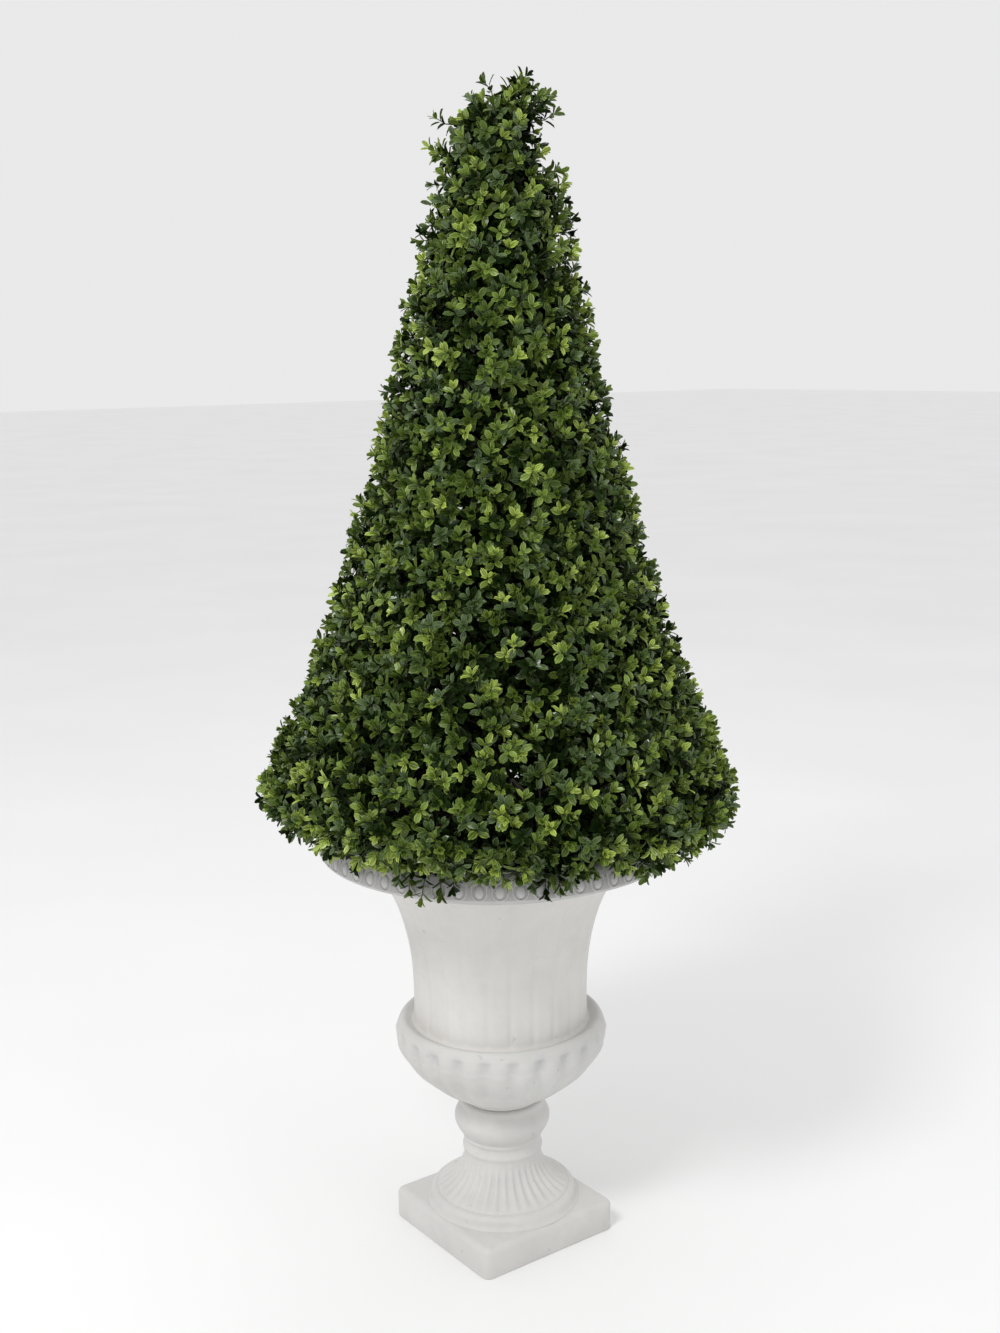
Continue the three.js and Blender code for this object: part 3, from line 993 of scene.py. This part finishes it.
def one_leaf():
    """A leaf of length 1 along +Y with its upper face to +Z, in 12 triangles."""
    deselect()
    bpy.ops.mesh.primitive_grid_add(x_subdivisions=2, y_subdivisions=4, size=1, location=(0, 0.5, 0))
    leaf = bpy.context.object
    settle(leaf)
    edit(leaf)
    for row, half_width, height in LEAF_ROWS:
        pick(leaf, lambda at: np.isclose(at[:, 1], row, atol=1e-3))
        bpy.ops.transform.resize(value=(max(half_width, 1e-4) / 0.5, 1, 1), center_override=(0, row, 0))
        bpy.ops.transform.translate(value=(0, height - row, 0))
    bpy.ops.mesh.select_all(action="SELECT")
    bpy.ops.mesh.remove_doubles(threshold=0.01)
    pick(leaf, lambda at: np.abs(at[:, 0]) > 0.05)
    bpy.ops.transform.translate(value=(0, 0, 0.075))
    pick(leaf, lambda at: at[:, 1] > 0.8)
    bpy.ops.transform.translate(value=(0, 0, -0.04))
    pick(leaf, lambda at: at[:, 1] > 0.95)
    bpy.ops.transform.translate(value=(0, -0.01, -0.05))
    bpy.ops.mesh.select_all(action="SELECT")
    bpy.ops.mesh.quads_convert_to_tris()
    bpy.ops.object.mode_set(mode="OBJECT")
    mesh = leaf.data
    points = np.zeros(len(mesh.vertices) * 3)
    mesh.vertices.foreach_get("co", points)
    corners = np.zeros(len(mesh.polygons) * 3, int)
    mesh.polygons.foreach_get("vertices", corners)
    bpy.data.objects.remove(leaf)
    return points.reshape(-1, 3), corners.reshape(-1, 3)


LEAF_POINTS, LEAF_FACES = one_leaf()
print("leaf", len(LEAF_POINTS), "points", len(LEAF_FACES), "triangles")

# %% [markdown]
# ### Leaves on every sprig
#
# Along each sprig the pairs sit closer and smaller towards the tip. Tones are dealt out by
# sprig: some sprigs end in a fresh yellow-green rosette, and the older pairs are darker,
# partly their own older green and partly painted shade. Leaves deep in the crown take the
# darkest tone as painted shade.

# %% Placing the leaves
LEAF_LENGTH = 12.6 * MM
PAIR_BACK = np.array([0.5, 2.5, 6.5, 12, 18, 25, 33]) * MM
PAIR_SIZE = np.array([0.68, 0.90, 1.0, 1.04, 1.04, 1.02, 1.0])
PAIR_OPEN = np.radians([24, 40, 52, 60, 66, 70, 74])
PAIRS = len(PAIR_BACK)

sprig_root = twig_end[sprig_twig]
reach = np.linalg.norm(sprig_tip - sprig_root, axis=1)
bend = sprig_tip - sprig_aim * (0.55 * np.maximum(reach, 30 * MM))[:, None]


def along_sprig(back):
    """Place and direction at a distance back from each sprig's tip, on its curve."""
    t = 1 - np.clip(back / np.maximum(reach, 20 * MM), 0, 0.92)
    t = t[:, None]
    place = (1 - t) ** 2 * sprig_root + 2 * t * (1 - t) * bend + t**2 * sprig_tip
    direction = 2 * (1 - t) * (bend - sprig_root) + 2 * t * (sprig_tip - bend)
    return place, unit(direction)


def spray_leaves():
    """Every leaf's base, length direction, upper direction, size, place in its sprig and sprig."""
    found = []
    turn = rng.uniform(0, math.tau, ALL_SPRIGS)
    helper = unit(rng.normal(size=(ALL_SPRIGS, 3)))
    for k in range(PAIRS):
        place, along = along_sprig(np.full(ALL_SPRIGS, PAIR_BACK[k]) * rng.uniform(0.9, 1.1, ALL_SPRIGS))
        first = unit(np.cross(along, helper))
        second = np.cross(along, first)
        for side in (0, 1):
            angle = turn + k * math.pi / 2 + side * math.pi + rng.normal(0, 0.16, ALL_SPRIGS)
            out = np.cos(angle)[:, None] * first + np.sin(angle)[:, None] * second
            opening = (PAIR_OPEN[k] + rng.normal(0, 0.24, ALL_SPRIGS))[:, None]
            length_way = np.cos(opening) * along + np.sin(opening) * out
            up_way = np.sin(opening) * along - np.cos(opening) * out
            roll = rng.normal(0, 0.30, ALL_SPRIGS)[:, None]
            up_way = np.cos(roll) * up_way + np.sin(roll) * np.cross(length_way, up_way)
            size = LEAF_LENGTH * PAIR_SIZE[k] * rng.uniform(0.86, 1.12, ALL_SPRIGS)
            base = place + out * 0.5 * MM
            pair = np.full(ALL_SPRIGS, k)
            found.append((base, length_way, up_way, size, pair, np.arange(ALL_SPRIGS)))
    return [np.concatenate(column) for column in zip(*found)]


leaf_place, leaf_way, leaf_up, leaf_size, leaf_pair, leaf_sprig = spray_leaves()
print(len(leaf_place), "leaves")

# %% [markdown]
# ### Leaf tones
#
# The moulded leaves come in a few greens. Each tone is a plain colour with a lighter
# margin and midrib, which are pressed into the real leaves, and a satin surface. The old
# dark leaves are duller than the fresh ones, so each tone has its own roughness and shine.

# %% Leaf finishes
TONES = {
    "leaf_bright": ((0.248, 0.325, 0.052), 0.26, 0.46),
    "leaf_fresh": ((0.136, 0.197, 0.028), 0.24, 0.44),
    # The dark tone is painted shade for leaves deep in the crown, and partly the older green of old pairs.
    "leaf_green": ((0.066, 0.105, 0.012), 0.27, 0.34),
    "leaf_dark_and_painted_shade": ((0.0076, 0.0180, 0.0012), 0.40, 0.12),
    "leaf_sheen": ((0.060, 0.098, 0.027), 0.21, 0.54),
}


def leaf_finish(name, colour, roughness, shine):
    """One tone of leaf: pale along its midrib and margin, and a little different in each leaf."""
    finish = Finish(name)
    own = finish.node("ShaderNodeUVMap", {"uv_map": "leaf"})
    across = (finish.node("ShaderNodeSeparateXYZ", {}, {0: own}) * 2.0 - 1.0).positive()
    pale, none, full = (0.9, 0.9, 0.9), (0, 0, 0), (1, 1, 1)
    margin = finish.ramp(across, [(0.0, pale), (0.16, none), (0.55, none), (0.95, full)])
    shade = finish.node("ShaderNodeAttribute", {"attribute_name": "shade"}, out="Fac")
    lighter = tuple(2.3 * part + 0.14 * colour[1] for part in colour)
    darker = tuple(0.50 * part for part in colour)
    body = finish.mix(shade, (*darker, 1), (*(1.20 * part for part in colour), 1))
    base = finish.mix(margin * 0.75, body, (*lighter, 1))
    return finish.surface(Base_Color=base, Roughness=roughness + 0.12 * shade, Specular_IOR_Level=shine)


LEAF_FINISHES = {name: leaf_finish(name, *look) for name, look in TONES.items()}
tone_names = list(TONES)


def deal_tones():
    """Tone number of each leaf, dealt out by sprig and by the leaf's place in it; deeper sprigs and the
    oldest pairs take darker tones, painted shade inside the crown.
    """
    patch = np.sin(5 * np.arctan2(sprig_tip[:, 1], sprig_tip[:, 0]) + 31 * sprig_tip[:, 2])
    kind = np.clip(rng.random(ALL_SPRIGS) - 0.08 * patch, 0, 1)
    tip_tone = np.select([kind < 0.17, kind < 0.46, kind < 0.68, kind < 0.88], [0, 1, 2, 4], 3)
    old_kind = rng.random(ALL_SPRIGS)
    old_tone = np.select([old_kind < 0.12, old_kind < 0.36, old_kind < 0.58], [1, 2, 4], 3)
    # Painted shade: the deeper a sprig lies under the outline, the darker its tones, and the oldest pairs
    # and deep leaves get the dark tone.
    tip_tone = np.where(sprig_depth > 16 * MM, np.maximum(tip_tone, 2), tip_tone)
    tip_tone = np.where(sprig_depth > 32 * MM, 3, tip_tone)
    between = np.where(tip_tone < 2, tip_tone + 1, tip_tone)
    by_pair = [tip_tone[leaf_sprig], between[leaf_sprig]]
    chosen = np.select([leaf_pair <= 1, leaf_pair == 2], by_pair, old_tone[leaf_sprig])
    return np.where((leaf_pair >= 5) | (sprig_depth[leaf_sprig] > 24 * MM), 3, chosen)


leaf_tone = deal_tones()
print("tones", {name: int((leaf_tone == i).sum()) for i, name in enumerate(tone_names)})

# %% Joining leaves into pieces
def joined(name, points, faces, smooth):
    """One mesh object from arrays of points and same-sized faces, leaned with the stem."""
    mesh = bpy.data.meshes.new(name)
    points[:, :2] += axis_at(points[:, 2])
    size = faces.shape[1]
    mesh.vertices.add(len(points))
    mesh.vertices.foreach_set("co", points.ravel())
    mesh.loops.add(faces.size)
    mesh.loops.foreach_set("vertex_index", faces.ravel())
    mesh.polygons.add(len(faces))
    mesh.polygons.foreach_set("loop_start", np.arange(0, faces.size, size))
    mesh.polygons.foreach_set("use_smooth", np.full(len(faces), smooth))
    mesh.update(calc_edges=True)
    piece = bpy.data.objects.new(name, mesh)
    bpy.context.collection.objects.link(piece)
    return piece


def leaf_piece(name, chosen):
    """One joined piece of the chosen leaves, with a tone slot, a leaf UV map and a shade for each."""
    count = len(chosen)
    local = LEAF_POINTS[None]
    width = rng.uniform(0.88, 1.12, count)[:, None]
    side = np.cross(leaf_way[chosen], leaf_up[chosen])
    size = leaf_size[chosen][:, None]
    points = (
        leaf_place[chosen][:, None]
        + (local[..., 0] * width * size)[..., None] * side[:, None]
        + (local[..., 1] * size)[..., None] * leaf_way[chosen][:, None]
        + (local[..., 2] * size)[..., None] * leaf_up[chosen][:, None]
    )
    per_leaf = len(LEAF_POINTS)
    faces = LEAF_FACES[None] + (np.arange(count) * per_leaf)[:, None, None]
    piece = joined(name, points.reshape(-1, 3), faces.reshape(-1, 3), False)
    mesh = piece.data
    for tone in tone_names:
        mesh.materials.append(LEAF_FINISHES[tone])
    slot_of_face = np.repeat(leaf_tone[chosen], len(LEAF_FACES)).astype(np.int32)
    mesh.polygons.foreach_set("material_index", slot_of_face)
    flat = LEAF_POINTS[LEAF_FACES.ravel()]
    across = np.where(np.abs(flat[:, 0]) > 0.05, np.sign(flat[:, 0]), 0.0)
    across = np.where((flat[:, 1] < 0.05) | (flat[:, 1] > 0.92), 0.0, across)
    own = np.stack([0.5 + 0.5 * across, flat[:, 1]], axis=1)
    mesh.uv_layers.new(name="leaf").data.foreach_set("uv", np.tile(own, (count, 1)).ravel())
    shade = mesh.attributes.new("shade", "FLOAT", "POINT")
    shade.data.foreach_set("value", np.repeat(rng.random(count), per_leaf))
    return piece


def zones():
    """The CAD node whose height band each sprig's tip falls in, as a number."""
    tops = [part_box(node)[1][2] for node in PLANT_NODES]
    return np.clip(np.searchsorted(tops, sprig_tip[:, 2]), 0, len(tops) - 1)


sprig_zone = zones()
for number, node in enumerate(PLANT_NODES):
    chosen = np.flatnonzero(sprig_zone[leaf_sprig] == number)
    halves = max(1, math.ceil(len(chosen) * len(LEAF_FACES) / 190_000))
    for part in range(halves):
        turn = (np.arctan2(sprig_tip[:, 1], sprig_tip[:, 0]) + math.pi) / math.tau
        inside = (turn[leaf_sprig[chosen]] * halves).astype(int).clip(0, halves - 1) == part
        name = node.replace("foliage", "leaves") + (f"_{part + 1}" if halves > 1 else "")
        piece = leaf_piece(name, chosen[inside])
        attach(piece, "root")
        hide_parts(node)
        print(name, len(piece.data.polygons), "triangles")

# %% [markdown]
# ### Twigs
#
# The sprigs, twigs and wires are thin tubes that follow the same curves as the leaves.
# They are joined into two pieces: green plastic sprig stems, and brown wires and twigs.

# %% Tubes along many curves
def tubes(roots, bends, tips, thick, thin, sides, steps):
    """Points and faces of tapering tubes along quadratic curves."""
    t = np.linspace(0, 1, steps + 1)[None, :, None]
    path = (1 - t) ** 2 * roots[:, None] + 2 * t * (1 - t) * bends[:, None] + t**2 * tips[:, None]
    way = unit(2 * (1 - t) * (bends - roots)[:, None] + 2 * t * (tips - bends)[:, None])
    helper = unit(rng.normal(size=(len(roots), 3)))[:, None]
    first = unit(np.cross(way, helper))
    second = np.cross(way, first)
    angle = np.arange(sides) * math.tau / sides
    ring = np.cos(angle)[:, None] * first[:, :, None] + np.sin(angle)[:, None] * second[:, :, None]
    radius = (thick + (thin - thick) * t[..., 0])[..., None, None]
    points = path[:, :, None] + ring * radius
    count = len(roots)
    row = (np.arange(count) * (steps + 1) * sides)[:, None, None] + (np.arange(steps) * sides)[None, :, None]
    one = np.arange(sides)[None, None, :]
    two = (one + 1) % sides
    faces = np.stack([row + one, row + two, row + sides + two, row + sides + one], axis=-1)
    return points.reshape(-1, 3), faces.reshape(-1, 4)


def leaf_stem_green():
    finish = Finish("green sprig plastic")
    tint = finish.noise(60.0, 2.0)
    base = finish.ramp(tint, [(0.35, (0.018, 0.030, 0.008)), (0.7, (0.050, 0.075, 0.018))])
    return finish.surface(Base_Color=base, Roughness=0.5)


sprig_points, sprig_faces = tubes(sprig_root, bend, sprig_tip, 1.0 * MM, 0.5 * MM, 3, 3)
sprigs = joined("sprig_stems", sprig_points, sprig_faces, True)
shown(sprigs, "foliage", leaf_stem_green())

# %% [markdown]
# ### Wires and twigs
#
# Wires leave the pole and end deep in the crown, and twigs fork from their ends. Many more
# short bare twigs cross each other behind the leaves. They are joined to nothing, and are
# only there to keep light out of the gaps, as the dense middle of a real one does. So each
# lies well below the outline, and none is near the loose top or the hem.

# %% Wires and twigs
CORE_TWIGS = 5200
CORE_HALF_LENGTH = 32 * MM


def core_twigs():
    """Bare twigs that cross each other behind the leaves and darken the gaps."""
    skin, out = scattered(CORE_TWIGS, 0.06)
    hidden = (skin[:, 2] < LOOSE_ABOVE) & (skin[:, 2] > SKIRT_BOTTOM + 25 * MM)
    skin, out = skin[hidden], out[hidden]
    count = len(skin)
    middle = inset(skin, out, at_most_share(rng.uniform(48, 86, count) * MM, skin, 0.75))
    way = unit(rng.normal(size=(count, 3)) + 0.4 * out) * CORE_HALF_LENGTH
    room_below = np.maximum(middle[:, 2] - SKIRT_BOTTOM - 12 * MM, 0)
    way[:, 2] = np.abs(way[:, 2]).clip(0, room_below)
    bow = rng.normal(0, 9 * MM, (count, 3))
    return middle - way, middle + bow, middle + way


wire_root = np.zeros((WIRES, 3))
wire_height = wire_end[:, 2] - 0.55 * np.hypot(wire_end[:, 0], wire_end[:, 1])
wire_root[:, 2] = np.clip(wire_height, FILL_TOP + 8 * MM, stem_high[2] - 15 * MM)
wire_root[:, :2] += unit(wire_end[:, :2]) * 4 * MM
wire_bend = (wire_root + wire_end) / 2 + np.array([0, 0, 12 * MM])
twig_root = wire_end[twig_wire]
twig_bend = (twig_root + twig_end) / 2 + rng.normal(0, 6 * MM, (TWIGS, 3))
wires = tubes(wire_root, wire_bend, wire_end, 2.0 * MM, 1.3 * MM, 6, 8)
twigs = tubes(twig_root, twig_bend, twig_end, 1.3 * MM, 0.8 * MM, 4, 4)
core = tubes(*core_twigs(), 1.9 * MM, 1.1 * MM, 3, 2)
wood_points = np.concatenate([wires[0], twigs[0], core[0]])
before_core = len(wires[0]) + len(twigs[0])
wood_faces = np.concatenate([wires[1], twigs[1] + len(wires[0]), core[1] + before_core])
shown(joined("wires_and_twigs", wood_points, wood_faces, True), "stem", BARK)

# %% [markdown]
# ## Studio
#
# A broad pale floor under an even white sky, three broad soft lights, and a camera a
# little below a metre up that looks slightly down at the plant.

# %% Floor, light and camera
def floor():
    deselect()
    bpy.ops.mesh.primitive_plane_add(size=60, location=(0, 0, 0))
    sheet = bpy.context.object
    sheet.name = "studio_floor"
    finish = Finish("pale floor")
    mottle = finish.noise(1.5, 2.0)
    base = finish.ramp(mottle, [(0.3, (0.90, 0.90, 0.90)), (0.7, (0.93, 0.93, 0.93))])
    sheet.data.materials.append(finish.surface(Base_Color=base, Roughness=0.85))


floor()

VIEW_TURN = math.radians(-36.3)
CAMERA_DISTANCE = 1.631
CAMERA_HEIGHT = 0.944
CAMERA_PITCH = math.radians(10.97)
CAMERA_ROLL = math.radians(0.8)
CAMERA_AIM = math.radians(0.15756)
LENS = 43.2108


def turned_about_z(x, y, angle):
    return x * math.cos(angle) - y * math.sin(angle), x * math.sin(angle) + y * math.cos(angle)


def camera():
    x, y = turned_about_z(0, -CAMERA_DISTANCE, VIEW_TURN)
    lens = bpy.data.cameras.new("camera")
    lens.sensor_fit = "VERTICAL"
    lens.sensor_height = 36
    lens.sensor_width = 36
    lens.lens = LENS
    made = bpy.data.objects.new("camera", lens)
    bpy.context.collection.objects.link(made)
    made.location = (x, y, CAMERA_HEIGHT)
    made.rotation_mode = "XYZ"
    made.rotation_euler = (math.pi / 2 - CAMERA_PITCH, 0, VIEW_TURN - CAMERA_AIM)
    bpy.context.view_layer.update()
    made.rotation_euler.rotate_axis("Z", -CAMERA_ROLL)
    bpy.context.scene.camera = made


def soft_light(name, azimuth, distance, height, size, watts):
    """A square soft box aimed at the middle of the plant."""
    x, y = turned_about_z(0, -distance, VIEW_TURN + math.radians(azimuth))
    lamp = bpy.data.lights.new(name, "AREA")
    lamp.shape = "SQUARE"
    lamp.size = size
    lamp.energy = watts
    made = bpy.data.objects.new(name, lamp)
    bpy.context.collection.objects.link(made)
    made.location = (x, y, height)
    rise = math.atan2(height - 0.6, distance)
    made.rotation_euler = (math.pi / 2 - rise, 0, VIEW_TURN + math.radians(azimuth))


def studio():
    world = bpy.data.worlds.new("studio")
    world.use_nodes = True
    background = world.node_tree.nodes["Background"]
    background.inputs["Color"].default_value = (1, 1, 1, 1)
    background.inputs["Strength"].default_value = 0.82
    bpy.context.scene.world = world
    soft_light("key", -32, 2.2, 2.7, 0.7, 36)
    soft_light("fill", 52, 2.6, 1.6, 1.8, 2)
    soft_light("top", 175, 1.2, 2.9, 1.6, 5)
    bpy.context.scene.view_settings.view_transform = "Standard"


camera()
studio()
